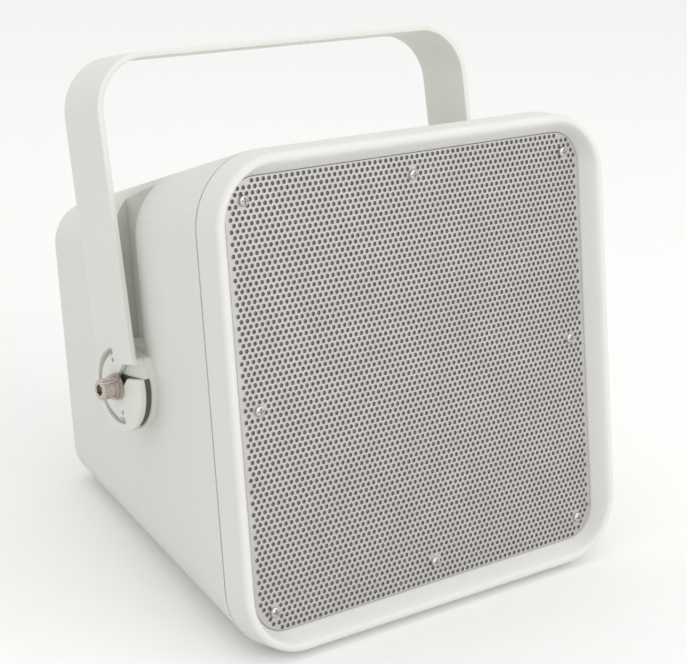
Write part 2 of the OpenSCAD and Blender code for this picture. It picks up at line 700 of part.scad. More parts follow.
module gland_body() color([0.2, 0.2, 0.21]) seated() difference() {
    union() {
        along_y(gland_d / 2, rear_in - thread_in, rear_y, 0, gland_z);
        translate([0, rear_y, gland_z]) rotate([-90, 0, 0]) cylinder(r = gland_hex / 2, h = gland_flange, $fn = 6);
    }
    along_y(cable_d / 2 + 1.4, rear_in - thread_in - over, rear_y + gland_flange + over, 0, gland_z);
}

module gland_locknut() color([0.2, 0.2, 0.21]) seated() difference() {
    translate([0, rear_in - nut_t, gland_z]) rotate([-90, 0, 0]) cylinder(r = gland_hex / 2, h = nut_t, $fn = 6);
    along_y(gland_d / 2, rear_in - nut_t - over, rear_in + over, 0, gland_z);
}

module gland_cap() color([0.2, 0.2, 0.21]) seated() translate([0, rear_y + gland_flange, gland_z]) difference() {
    rotate([-90, 0, 0]) rotate_extrude($fn = 64) polygon([
        [cable_d / 2 + 3, 0], [gland_hex / 2 - 2, 0], [gland_hex / 2 - 2, gland_cap_len * 0.5],
        [gland_hex / 2 - 3.4, gland_cap_len * 0.85], [gland_hex / 2 - 5, gland_cap_len],
        [cable_d / 2 + 0.8, gland_cap_len], [cable_d / 2 + 0.8, gland_cap_len - 1.6], [cable_d / 2 + 3, gland_cap_len - 1.6]]);
    for (a = [0:30:330]) rotate([0, a, 0]) translate([gland_hex / 2 - 2, -over, 0]) rotate([-90, 0, 0])
        cylinder(r = 0.7, h = gland_cap_len * 0.5 + over, $fn = 16);
}

module gland_seal() color([0.1, 0.1, 0.1]) seated() difference() {
    along_y(cable_d / 2 + 3, rear_y + gland_flange, rear_y + gland_flange + gland_cap_len - 1.6, 0, gland_z);
    along_y(cable_d / 2, rear_y + gland_flange - over, rear_y + gland_flange + gland_cap_len, 0, gland_z);
}

module both_sides() for (s = [-1, 1]) mirror([s < 0 ? 1 : 0, 0, 0]) children();

module pivot_inserts() color([0.8, 0.65, 0.3]) seated() both_sides() difference() {
    along_x(insert_d / 2, boss_x - insert_len, boss_x, pivot_back);
    along_x(pivot_d / 2, boss_x - insert_len - over, boss_x + over, pivot_back);
}

module pivot_screws() color(steel) seated() both_sides() difference() {
    union() {
        along_x(pivot_d / 2, head_x - pivot_len, head_x, pivot_back);
        along_x(pivot_head_d / 2, head_x, head_x + pivot_head_h - 0.6, pivot_back);
        translate([head_x + pivot_head_h - 0.6, pivot_back, 0]) rotate([0, 90, 0])
            cylinder(r1 = pivot_head_d / 2, r2 = pivot_head_d / 2 - 0.6, h = 0.6, $fn = 64);
    }
    translate([head_x + pivot_head_h / 2, pivot_back, 0]) rotate([0, 90, 0])
        cylinder(r = key_w / sqrt(3), h = pivot_head_h, $fn = 6);
}

module spring_washers() color(steel) seated() both_sides() difference() {
    along_x(spring_d / 2, spring_x, head_x, pivot_back);
    along_x(pivot_d / 2 + 0.15, spring_x - over, head_x + over, pivot_back);
    translate([spring_x - over, pivot_back + 1, -0.5]) cube([spring_t + 2 * over, spring_d, 1]);
}

module plain_washers() color(steel) seated() both_sides() difference() {
    along_x(washer_d / 2, washer_x, spring_x, pivot_back);
    along_x(pivot_d / 2 + 0.2, washer_x - over, spring_x + over, pivot_back);
}

// Round in the middle and wide in front, flat on top where it lies against the boss's lug
module friction_pads() color([0.14, 0.14, 0.14]) seated() both_sides() difference() {
    intersection() {
        along_x(disc_r - pad_inset, boss_x, pad_out, pivot_back, n = 96);
        union() {
            along_x(pad_core, boss_x - over, pad_out + over, pivot_back);
            translate([boss_x - over, pivot_back - disc_r, -disc_r]) cube([pad_t + 2 * over, disc_r - pad_front, 2 * disc_r]);
        }
    }
    along_x(pivot_d / 2 + 0.2, boss_x - over, pad_out + over, pivot_back);
    translate([boss_x - over, pivot_back - disc_r, lug_low - fit]) cube([pad_t + 2 * over, 2 * disc_r, disc_r]);
}

// One round end's openings, cut along X: the pivot hole, its hook slot, the arc slot and two index holes
module end_openings() {
    along_x(hole_r, arm_in - over, arm_out + over);
    translate([arm_in - over, 0, 0]) rotate([0, 90, 0]) linear_extrude(strap_t + 2 * over) polygon([
        for (p = [hook_side(0, 1), hook_side(leg_to(hook_z + hole_r, 1), 1), [-disc_r - over, hook_z + hole_r],
                  [-disc_r - over, hook_z - hole_r], hook_side(leg_to(hook_z - hole_r, -1), -1), hook_side(0, -1)])
            [-p[1], p[0]]
    ]);
    rotate([-arc_drop, 0, 0]) {
        intersection() {
            difference() {
                along_x(arc_r + arc_w / 2, arm_in - over, arm_out + over, n = 96);
                along_x(arc_r - arc_w / 2, arm_in - 2 * over, arm_out + 2 * over, n = 96);
            }
            for (s = [-1, 1]) rotate([s * (arc_span / 2 - 90), 0, 0])
                translate([arm_in - over, 0, s > 0 ? 0 : -disc_r - 5]) cube([strap_t + 2 * over, disc_r + 5, disc_r + 5]);
        }
        for (s = [-1, 1]) {
            rotate([s * arc_span / 2, 0, 0]) along_x(arc_w / 2, arm_in - over, arm_out + over, arc_r, 0, 32);
            rotate([s * arc_span / 2, 0, 0]) along_x(index_r, arm_in - over, arm_out + over, index_at, 0, 24);
        }
    }
}

module bracket() color(cream) seated() translate([0, pivot_back, 0]) rotate([-bracket_lean, 0, 0]) difference() {
    union() {
        both_sides() {
            translate([arm_in, -strap_w / 2, 0]) cube([strap_t, strap_w, strap_h - bend_r]);
            along_x(disc_r, arm_in, arm_out, n = 96);
            translate([arm_out - bend_r, strap_w / 2, strap_h - bend_r]) rotate([90, 0, 0])
                rotate_extrude(angle = 90, $fn = 72) translate([bend_r - strap_t, 0]) square([strap_t, strap_w]);
        }
        translate([-(arm_out - bend_r), -strap_w / 2, strap_h - strap_t]) cube([2 * (arm_out - bend_r), strap_w, strap_t]);
    }
    both_sides() end_openings();
    for (s = [-1, 1]) translate([s * fix_pitch / 2, 0, strap_h - strap_t - over]) cylinder(r = fix_r, h = strap_t + 2 * over, $fn = 48);
    translate([0, 0, strap_h - strap_t - over]) cylinder(r = stud_r, h = strap_t + 2 * over, $fn = 48);
}

front_frame();
grille();
grille_screws();
grille_cloth();
frame_seal();
rear_housing();
frame_screws();
horn_flare();
throat_gasket();
driver_plate();
phase_plug();
diaphragm();
voice_coil();
pole_plate();
magnet();
back_plate();
driver_screws();
transformer_core();
transformer_coil();
transformer_clamp();
transformer_screws();
terminal_block();
terminal_screws();
lead_wires();
gland_body();
gland_locknut();
gland_cap();
gland_seal();
pivot_inserts();
pivot_screws();
spring_washers();
plain_washers();
friction_pads();
bracket();
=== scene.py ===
"""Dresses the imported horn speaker: a finely stepped moulded rim, the real perforated sheet with
its cross-recessed screws, the bent steel bracket, a finish for every piece and a plain studio, all
in the frame that the CAD gives."""

import json
import math
from types import SimpleNamespace

import bmesh
import bpy
from bpy.props import FloatProperty, FloatVectorProperty, IntProperty, PointerProperty
from mathutils import Matrix, Vector
from mathutils.geometry import delaunay_2d_cdt


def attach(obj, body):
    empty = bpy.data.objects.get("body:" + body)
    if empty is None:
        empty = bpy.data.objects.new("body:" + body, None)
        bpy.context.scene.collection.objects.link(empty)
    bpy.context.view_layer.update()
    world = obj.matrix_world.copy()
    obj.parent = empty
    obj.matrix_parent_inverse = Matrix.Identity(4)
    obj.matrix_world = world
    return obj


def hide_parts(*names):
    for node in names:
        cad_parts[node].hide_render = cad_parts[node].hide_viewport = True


bl_info = {
    "name": "Horn Speaker",
    "version": (1, 0, 0),
    "blender": (4, 5, 0),
    "location": "3D View > Sidebar > Horn Speaker",
    "description": "Builds the shown pieces and finishes of a horn speaker round its CAD model",
    "category": "Object",
}

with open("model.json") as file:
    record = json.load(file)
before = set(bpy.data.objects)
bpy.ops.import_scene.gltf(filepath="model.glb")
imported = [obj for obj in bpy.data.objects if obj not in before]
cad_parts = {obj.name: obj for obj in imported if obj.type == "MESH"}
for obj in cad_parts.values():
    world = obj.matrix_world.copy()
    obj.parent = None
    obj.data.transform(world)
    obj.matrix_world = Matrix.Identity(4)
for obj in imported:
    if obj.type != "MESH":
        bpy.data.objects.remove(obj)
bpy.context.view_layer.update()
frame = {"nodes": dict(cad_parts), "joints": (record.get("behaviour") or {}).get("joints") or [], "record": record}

MM = 0.001
CABINET, BRACKET = "cabinet", "bracket"
PIVOT = Vector(frame["joints"][0]["pos_m"])
CABLE = next(m for m in frame["record"]["mounts"] if m["name"] == "cable_entry")
STUD = next(m for m in frame["record"]["mounts"] if m["name"] == "bracket_stud")
# How far the cabinet and the bracket lean back, in radians
LEAN = math.atan2(-CABLE["axis"][2], CABLE["axis"][1])
BRACKET_LEAN = math.atan2(STUD["axis"][1], STUD["axis"][2])

# Lengths from here to the camera are in mm, and angles in degrees.
# Depths behind the grille's face: the pivot, the rim's back, and the ledge's two faces
PIVOT_DEPTH = 94.3
RIM_BACK, LEDGE, LEDGE_BACK = 6.8, 1.6, 5.2
# Radius of the hole in the ledge that the horn's mouth fills
HORN_HOLE = 86.8
# Depth where the bead meets the opening, and the wall behind the ledge: how far in it stands and
# how much rounder its corners are than the opening's
OPENING_EDGE, SKIRT_IN, SKIRT_CORNER = 0.1, 1.0, 5.0
# Pull of the bead's curve outward and forward, each near the opening and then near the crest
BEAD_PULL = ((0.42, 0.72), (0.55, 1.0))
BEAD_STEPS = 16
# Play of the sheet in the opening, its plain edge, and its whole patch round each screw
SHEET_PLAY, SHEET_EDGE, SCREW_PATCH = 0.3, 0.35, 2.9
HOLE_FACETS = 8
# Grille screws: distance from the opening's edge; the pan head's height, and how much its dome and
# its edge fall off as shares of that; the cross's depth, half the width of an arm, and its reach as
# a share of the head's radius
SCREW_INSET = 10.0
PAN_HEIGHT, PAN_ROUND, PAN_TURN = 1.7, 0.75, 0.25
CROSS_DEPTH, CROSS_HALF, CROSS_REACH = 0.9, 0.34, 0.62
# How far the arms stand inside the rim's outside
ARM_INSET = 2.9
# Round ends of the bracket: radius of the pivot hole, lean and length of the hook slot's leg
PIVOT_HOLE, HOOK_LEAN, HOOK_LEG = 3.4, 140, 11.5
# Arc slot: radius, width, half its sweep and the turn of its middle; index holes: radius and place
ARC_R, ARC_W, ARC_SWEEP, ARC_TURN = 16.5, 3.2, 90, -7
INDEX_R, INDEX_PLACE = 1.1, 12.6
# Top bar: place along it and radius of the fixing holes and the stud's hole between them
BAR_HOLES = ((-35, 3.5), (0, 5.5), (35, 3.5))
# Cuts across each bend before the strap is bent
BEND_STEPS = 24
# Points closer than this are one point, and the same for the sheet's triangles
WELD, CLOSE = 0.002, 1e-6

# Camera solved from the photograph: place in metres, directions, the lens on a 36 mm sensor, and
# the nearest and farthest distance in metres that it sees
VIEW_FROM = Vector((-0.49870, -0.68989, 0.40075))
VIEW_FORWARD = Vector((0.570785, 0.751997, -0.329704))
VIEW_UP = Vector((0.170497, 0.284242, 0.943471))
LENS, SENSOR = 93.6, 36.0
CLIP_START, CLIP_END = 0.05, 100.0
# Light from all round as the object gets it and as the camera sees it, and the floor's own lift
AMBIENT, BACKGROUND, FLOOR_LIFT = 0.90, 0.95, 0.085
PAPER_WHITE, PAPER_TONES = "FDFDFC", ("EDEDEC", "F0F0EF")
# Soft unevenness of the paper floor in mm, and how far the floor reaches in metres
PAPER_GRAIN, FLOOR_REACH = 16.7, 30.0
# Softboxes: place in metres, width in metres and power in watts. All face the middle of the speaker
AIM = Vector((0, 0, 0.11))
LAMPS = (
    ("key_softbox", (1.2, -1.6, 1.5), 1.2, 5.5),
    ("top_softbox", (-0.3, 0.2, 2.2), 1.6, 4.6),
    ("front_softbox", (0.0, -2.1, 0.9), 1.6, 9.5),
)

# From the cabinet's own frame (Y along the horn's axis from the grille back) to the row frame
SEAT = (
    Matrix.Translation(PIVOT)
    @ Matrix.Rotation(-LEAN, 4, "X")
    @ Matrix.Translation((0, -PIVOT_DEPTH * MM, 0))
)
# From the bracket's own frame (origin at the pivot, Z up along its arms) to the row frame
HANG = Matrix.Translation(PIVOT) @ Matrix.Rotation(-BRACKET_LEAN, 4, "X")


class SpeakerSizes(bpy.types.PropertyGroup):
    """Sizes of the pieces that are built here."""

    mouth: FloatProperty(
        name="Mouth", description="Width of the opening that the grille fills",
        default=0.204, subtype="DISTANCE", unit="LENGTH",
    )
    mouth_corner: FloatProperty(
        name="Mouth corner", description="Corner radius of the opening",
        default=0.016, subtype="DISTANCE", unit="LENGTH",
    )
    rim: FloatProperty(
        name="Rim", description="Width of the rim from the opening to its outside",
        default=0.0102, subtype="DISTANCE", unit="LENGTH",
    )
    rim_front: FloatProperty(
        name="Rim front", description="Height of the crest in front of the grille",
        default=0.00835, subtype="DISTANCE", unit="LENGTH",
    )
    rim_draft: FloatProperty(
        name="Rim draft", description="How much the rim draws in to the front",
        default=0.0009, subtype="DISTANCE", unit="LENGTH",
    )
    crest: FloatProperty(
        name="Crest radius", description="Radius of the crest's outer side",
        default=0.0024, subtype="DISTANCE", unit="LENGTH",
    )
    crest_flat: FloatProperty(
        name="Crest flat", description="Width of the crest's narrow flat",
        default=0.0004, subtype="DISTANCE", unit="LENGTH",
    )
    corner: FloatProperty(
        name="Corner radius", description="Outer corner radius at the parting line",
        default=0.0326, subtype="DISTANCE", unit="LENGTH",
    )
    pitch: FloatProperty(
        name="Hole pitch", description="Distance between neighbouring holes",
        default=0.003, subtype="DISTANCE", unit="LENGTH",
    )
    hole: FloatProperty(
        name="Hole", description="Diameter of each hole",
        default=0.002, subtype="DISTANCE", unit="LENGTH",
    )
    sheet: FloatProperty(
        name="Sheet", description="Thickness of the perforated sheet",
        default=0.001, subtype="DISTANCE", unit="LENGTH",
    )
    head: FloatProperty(
        name="Screw head", description="Diameter of the grille screws' heads",
        default=0.0052, subtype="DISTANCE", unit="LENGTH",
    )
    strap_w: FloatProperty(
        name="Strap width", description="Width of the bracket's strap",
        default=0.0332, subtype="DISTANCE", unit="LENGTH",
    )
    strap_t: FloatProperty(
        name="Strap thickness", description="Thickness of the bracket's strap",
        default=0.003, subtype="DISTANCE", unit="LENGTH",
    )
    bend: FloatProperty(
        name="Bend radius", description="Outer radius of the strap's two bends",
        default=0.0272, subtype="DISTANCE", unit="LENGTH",
    )
    disc: FloatProperty(
        name="Round end", description="Radius of the arms' round ends",
        default=0.0219, subtype="DISTANCE", unit="LENGTH",
    )
    edge: FloatProperty(
        name="Edge radius", description="Rounding of the strap's painted edges",
        default=0.00045, subtype="DISTANCE", unit="LENGTH",
    )
    steps: IntProperty(name="Corner steps", description="Steps round each moulded corner", default=20)


class SpeakerColours(bpy.types.PropertyGroup):
    """Main colours, as sRGB values."""

    plastic: FloatVectorProperty(
        name="Plastic", description="Moulded housing and rim",
        default=(0.878, 0.884, 0.861), subtype="COLOR_GAMMA",
    )
    paint: FloatVectorProperty(
        name="Paint", description="Powder coat on the bracket",
        default=(0.882, 0.888, 0.865), subtype="COLOR_GAMMA",
    )


def sizes():
    """Every size in millimetres, as the outlines below are drawn."""
    group = bpy.context.scene.speaker_sizes
    lengths = {key: getattr(group, key) / MM for key in group.__annotations__ if key != "steps"}
    return SimpleNamespace(steps=group.steps, **lengths)


def colours():
    """The colours that the user has set."""
    return bpy.context.scene.speaker_colours


def screw_places():
    """Places of the eight grille screws across and up the grille: its corners and the middles
    of its sides."""
    at = sizes().mouth / 2 - SCREW_INSET
    return [(x * at, z * at) for x in (-1, 0, 1) for z in (-1, 0, 1) if x or z]


def linear(value):
    """Linear colour from an sRGB hex string or an sRGB triple."""
    if isinstance(value, str):
        value = [int(value[i : i + 2], 16) / 255 for i in (0, 2, 4)]
    return (*[c / 12.92 if c <= 0.04045 else ((c + 0.055) / 1.055) ** 2.4 for c in value], 1.0)


def add_node(tree, kind, values=(), links=()):
    """Adds one node. Values set its properties or sockets, and links join sockets to earlier ones."""
    made = tree.nodes.new(kind)
    for key, value in dict(values).items():
        if isinstance(key, str) and hasattr(made, key):
            setattr(made, key, value)
        else:
            made.inputs[key].default_value = value
    for key, source in dict(links).items():
        tree.links.new(source, made.inputs[key])
    return made


def new_material(name):
    """An empty node material, its node tree, and the object's own coordinates in metres."""
    material = bpy.data.materials.new(name)
    material.use_nodes = True
    tree = material.node_tree
    tree.nodes.clear()
    place = add_node(tree, "ShaderNodeTexCoord").outputs["Object"]
    return material, tree, place


# A wave texture of scale 1 repeats after this length
WAVE = 0.314
# Size of the specks that vary the gloss of a banded surface, in mm
SPECK = 1.5
# Darker tone of the faint clouds on plastic and paint, as a share of the colour
CLOUD = 0.985


def grained(name, low, high, grain, rough, bump, cloud=35.0, metal=False, ior=1.5, soft=0.0):
    """A surface with fine grain (mm), faint clouds of tone (mm) and roughness that varies with the grain.
    Soft is the radius (mm) that the light sees on its sharp edges."""
    material, tree, place = new_material(name)
    fine = add_node(
        tree,
        "ShaderNodeTexNoise",
        {"Scale": 1 / (grain * MM), "Detail": 3.0, "Roughness": 0.55},
        {"Vector": place},
    )
    wide = add_node(
        tree, "ShaderNodeTexNoise", {"Scale": 1 / (cloud * MM), "Detail": 2.0}, {"Vector": place}
    )
    tone = add_node(
        tree,
        "ShaderNodeMix",
        {"data_type": "RGBA", 6: linear(low), 7: linear(high)},
        {0: wide.outputs["Fac"]},
    )
    gloss = add_node(
        tree,
        "ShaderNodeMapRange",
        {"To Min": rough[0], "To Max": rough[1]},
        {"Value": fine.outputs["Fac"]},
    )
    under = {"Height": fine.outputs["Fac"]}
    if soft:
        edges = add_node(tree, "ShaderNodeBevel", {"samples": 6, "Radius": soft * MM})
        under["Normal"] = edges.outputs[0]
    relief = add_node(tree, "ShaderNodeBump", {"Strength": 1.0, "Distance": bump * MM}, under)
    shader = add_node(
        tree,
        "ShaderNodeBsdfPrincipled",
        {"Metallic": 1.0} if metal else {"IOR": ior},
        {"Base Color": tone.outputs[2], "Roughness": gloss.outputs[0], "Normal": relief.outputs[0]},
    )
    add_node(tree, "ShaderNodeOutputMaterial", (), {"Surface": shader.outputs[0]})
    return material


def banded(name, low, high, pitch, rough, bump, direction, metal=False, rings=False, ior=1.5):
    """A surface with regular bands (mm): turning marks, a knurl whose bands are painted highlights, windings or
    core sheets.
    """
    material, tree, place = new_material(name)
    wave = add_node(
        tree,
        "ShaderNodeTexWave",
        {
            "wave_type": "RINGS" if rings else "BANDS",
            "rings_direction" if rings else "bands_direction": direction,
            "Scale": WAVE / (pitch * MM),
            "Distortion": 0.6,
            "Detail": 2.0,
            "Detail Scale": 2.0,
        },
        {"Vector": place},
    )
    speck = add_node(
        tree, "ShaderNodeTexNoise", {"Scale": 1 / (SPECK * MM), "Detail": 2.0}, {"Vector": place}
    )
    tone = add_node(
        tree,
        "ShaderNodeMix",
        {"data_type": "RGBA", 6: linear(low), 7: linear(high)},
        {0: wave.outputs["Fac"]},
    )
    gloss = add_node(
        tree,
        "ShaderNodeMapRange",
        {"To Min": rough[0], "To Max": rough[1]},
        {"Value": speck.outputs["Fac"]},
    )
    relief = add_node(
        tree, "ShaderNodeBump", {"Strength": 1.0, "Distance": bump * MM}, {"Height": wave.outputs["Fac"]}
    )
    shader = add_node(
        tree,
        "ShaderNodeBsdfPrincipled",
        {"Metallic": 1.0} if metal else {"IOR": ior},
        {"Base Color": tone.outputs[2], "Roughness": gloss.outputs[0], "Normal": relief.outputs[0]},
    )
    add_node(tree, "ShaderNodeOutputMaterial", (), {"Surface": shader.outputs[0]})
    return material


def woven(name, low, high, pitch):
    """Plain weave: threads over and under each other on the given pitch (mm)."""
    material, tree, place = new_material(name)
    turned = add_node(tree, "ShaderNodeMapping", {"Rotation": (LEAN, 0, 0)}, {"Vector": place})
    threads = [
        add_node(
            tree,
            "ShaderNodeTexWave",
            {
                "wave_type": "BANDS",
                "bands_direction": way,
                "Scale": WAVE / (pitch * MM),
                "Distortion": 0.3,
            },
            {"Vector": turned.outputs[0]},
        )
        for way in ("X", "Z")
    ]
    both = add_node(
        tree,
        "ShaderNodeMath",
        {"operation": "MULTIPLY"},
        {0: threads[0].outputs["Fac"], 1: threads[1].outputs["Fac"]},
    )
    tone = add_node(
        tree,
        "ShaderNodeMix",
        {"data_type": "RGBA", 6: linear(low), 7: linear(high)},
        {0: both.outputs[0]},
    )
    relief = add_node(
        tree,
        "ShaderNodeBump",
        {"Strength": 1.0, "Distance": 0.3 * pitch * MM},
        {"Height": both.outputs[0]},
    )
    shader = add_node(
        tree,
        "ShaderNodeBsdfPrincipled",
        {"Roughness": 0.92, "Sheen Weight": 0.15},
        {"Base Color": tone.outputs[2], "Normal": relief.outputs[0]},
    )
    add_node(tree, "ShaderNodeOutputMaterial", (), {"Surface": shader.outputs[0]})
    return material


MATERIALS = {}


def make_materials():
    """Every finish of the speaker, named for what it is."""
    plastic, paint = colours().plastic, colours().paint
    plastic_low, paint_low = ([CLOUD * c for c in colour] for colour in (plastic, paint))
    MATERIALS.update(
        # ASA moulded in a spark-eroded tool: a fine even grain that keeps highlights wide and soft.
        # The grain is about 0.15 mm in the real one, and drawn at 0.7 mm so that it shows.
        # Its edges have the 0.9 mm radius that such a mould leaves.
        moulded_asa=grained(
            "moulded_asa_fine_grain", plastic_low, plastic, 0.7, (0.44, 0.56), 0.012,
            ior=1.52, soft=0.9,
        ),
        # Polyester powder coat on steel: smoother than the plastic, with an orange peel of 2.5 mm
        powder_coat=grained(
            "powder_coated_steel", paint_low, paint, 2.5, (0.34, 0.42), 0.02, ior=1.55
        ),
        # Pickled stainless sheet: dull, slightly warm, with cloudy gloss from rolling
        stainless_sheet=grained(
            "rolled_stainless_sheet", "C0BCBA", "CECAC8", 1.2, (0.4, 0.55), 0.006,
            cloud=14.0, metal=True,
        ),
        # Cap screws of stainless: a straight knurl of 0.8 mm round the head. Its light and dark bands of colour,
        # bright on its ribs, are painted highlight and painted reflection
        stainless_knurled=banded(
            "knurled_screw_painted_highlights", "A1968F", "E6DDD8", 0.8, (0.16, 0.26), 0.02, "X",
            metal=True, rings=True,
        ),
        # Pressed and spring washers of stainless, smooth. Their soft light and dark clouds of colour are painted
        # sheen and painted reflection
        stainless_pressed=grained(
            "pressed_washers_painted_sheen", "A2978F", "DAD1CC", 1.2, (0.18, 0.3), 0.006,
            cloud=5.0, metal=True,
        ),
        # Small pan heads, tumbled: brighter and rounder gloss than the sheet
        stainless_small=grained(
            "tumbled_stainless_screws", "C4BCB9", "D4CDCA", 0.4, (0.28, 0.4), 0.008, metal=True
        ),
        # Moulded rubber: matt, with a fine dusty grain
        rubber=grained("moulded_black_rubber", "26272A", "33353A", 0.6, (0.7, 0.85), 0.02, ior=1.52),
        # Neoprene cut from sheet, matt and open-pored at its cut edge. Its dark grey-green is painted shade,
        # standing for the shade of the gap between each round end of the bracket and its boss
        pad_rubber=grained("neoprene_pad_painted_shade", "52554E", "62655C", 0.8, (0.75, 0.9), 0.03, ior=1.52),
        # Acoustic cloth: plain weave of 0.4 mm threads, drawn at 0.6 mm
        cloth=woven("woven_acoustic_cloth", "848486", "AEAEB0", 0.6),
        # Glass-filled nylon of the inner horn and the gland: black, slightly mottled
        black_nylon=grained(
            "moulded_black_nylon", "1E1F21", "2B2C2F", 0.9, (0.42, 0.55), 0.02, ior=1.53
        ),
        # Die-cast aluminium: grey skin with shallow flow marks
        cast_aluminium=grained(
            "die_cast_aluminium", "9A9C9E", "B6B8BA", 1.6, (0.38, 0.55), 0.03, cloud=9.0, metal=True
        ),
        # Resin-soaked cloth of the diaphragm: amber, with the weave still in it
        phenolic=woven("resin_soaked_cloth", "8A5F28", "B98A48", 0.5),
        # Enamelled copper wire: 0.3 mm turns, drawn at 0.5 mm
        copper=banded(
            "enamelled_copper_winding", "7A3E1C", "C07A44", 0.5, (0.25, 0.35), 0.08, "Y", metal=True
        ),
        # Zinc plate: bluish, with soft clouds from the bath
        zinc=grained(
            "zinc_plated_steel", "A9ADB4", "C3C7CC", 1.0, (0.3, 0.48), 0.01, cloud=6.0, metal=True
        ),
        # Varnished core sheets of 0.5 mm, seen as lines on the stack
        core=banded("varnished_core_sheets", "2E2B2A", "57524F", 0.5, (0.4, 0.55), 0.06, "Y"),
        # Sintered ferrite: charcoal and slightly sparkling
        ferrite=grained("sintered_ferrite", "222325", "34363A", 0.5, (0.5, 0.65), 0.02, ior=2.2),
        # Turned brass of the inserts: yellow, with fine marks from the tool
        brass=banded("turned_brass", "8E6B2C", "C9A557", 0.5, (0.22, 0.34), 0.02, "X", metal=True),
        # Natural nylon of the terminal block: waxy and faintly yellow
        nylon=grained("natural_nylon", "D5D3C6", "E2E0D4", 0.8, (0.38, 0.5), 0.01, ior=1.53),
        # PVC wire jacket: red, smooth with faint drawing lines
        jacket=grained("red_wire_jacket", "7E1414", "9C1E1B", 0.8, (0.35, 0.45), 0.01, ior=1.54),
    )


NODE_FINISH = {
    "front_frame": "moulded_asa",
    "rear_housing": "moulded_asa",
    "bracket": "powder_coat",
    "grille": "stainless_sheet",
    "grille_screws": "stainless_small",
    "grille_cloth": "cloth",
    "frame_seal": "rubber",
    "frame_screws": "stainless_small",
    "horn_flare": "black_nylon",
    "throat_gasket": "rubber",
    "driver_plate": "cast_aluminium",
    "phase_plug": "black_nylon",
    "diaphragm": "phenolic",
    "voice_coil": "copper",
    "pole_plate": "zinc",
    "magnet": "ferrite",
    "back_plate": "zinc",
    "driver_screws": "stainless_small",
    "transformer_core": "core",
    "transformer_coil": "copper",
    "transformer_clamp": "zinc",
    "transformer_screws": "stainless_small",
    "terminal_block": "nylon",
    "terminal_screws": "stainless_small",
    "lead_wires": "jacket",
    "gland_body": "black_nylon",
    "gland_locknut": "black_nylon",
    "gland_cap": "black_nylon",
    "gland_seal": "rubber",
    "pivot_inserts": "brass",
    # The knurl's light and dark bands are painted highlight and painted reflection
    "pivot_screws": "stainless_knurled",
    # The washers' light and dark clouds of colour are painted sheen and painted reflection
    "spring_washers": "stainless_pressed",
    "plain_washers": "stainless_pressed",
    # The pads' dark grey-green is painted shade of the gap behind the bracket's round ends
    "friction_pads": "pad_rubber",
}


def turn_outward(work):
    """Turns all faces of a closed mesh outward."""
    bmesh.ops.recalc_face_normals(work, faces=work.faces)
    if work.calc_volume(signed=True) < 0:
        bmesh.ops.reverse_faces(work, faces=work.faces)


def put_piece(name, points, faces, place, finish, body, replaced, sharp=35.0):
    """Makes a piece from points in mm in its own frame, and rides it on its body."""
    mesh = bpy.data.meshes.new(name)
    mesh.from_pydata([place @ (Vector(p) * MM) for p in points], [], faces)
    work = bmesh.new()
    work.from_mesh(mesh)
    bmesh.ops.remove_doubles(work, verts=work.verts, dist=WELD * MM)
    turn_outward(work)
    work.to_mesh(mesh)
    work.free()
    return dress_mesh(name, mesh, finish, body, replaced, sharp)


def dress_mesh(name, mesh, finish, body, replaced, sharp=35.0):
    """Shades a finished mesh smooth up to an angle, gives it its material, slot and body."""
    mesh.shade_smooth()
    mesh.set_sharp_from_angle(angle=math.radians(sharp))
    mesh.materials.append(MATERIALS[finish])
    piece = bpy.data.objects.new(name, mesh)
    bpy.context.scene.collection.objects.link(piece)
    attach(piece, body)
    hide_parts(*replaced)
    return piece


def square_ring(half, radius, depth, side=10):
    """Points round a square with rounded corners, square to the horn's axis at a depth."""
    steps = sizes().steps
    ring = []
    for quarter, (sx, sz) in enumerate(((1, 1), (-1, 1), (-1, -1), (1, -1))):
        for i in range(steps + 1):
            angle = math.pi / 2 * (quarter + i / steps)
            x = sx * (half - radius) + radius * math.cos(angle)
            z = sz * (half - radius) + radius * math.sin(angle)
            ring.append((x, depth, z))
        last = ring[-1]
        nx, nz = ((-1, 1), (-1, -1), (1, -1), (1, 1))[quarter]
        turn = math.pi / 2 * (quarter + 1)
        x = nx * (half - radius) + radius * math.cos(turn)
        z = nz * (half - radius) + radius * math.sin(turn)
        for i in range(1, side):
            share = i / side
            ring.append((last[0] + (x - last[0]) * share, depth, last[2] + (z - last[2]) * share))
    return ring


def round_ring(radius, like):
    """A circle with one point for each point of another ring, in the same directions."""
    return [
        (radius * x / math.hypot(x, z), y, radius * z / math.hypot(x, z)) for x, y, z in like
    ]


def lofted(rings):
    """Points and quads through rings of equal length, and from the last back to the first."""
    count = len(rings[0])
    points = [p for ring in rings for p in ring]
    faces = []
    for j in range(len(rings)):
        a, b = j * count, (j + 1) % len(rings) * count
        faces += [(a + i, a + (i + 1) % count, b + (i + 1) % count, b + i) for i in range(count)]
    return points, faces


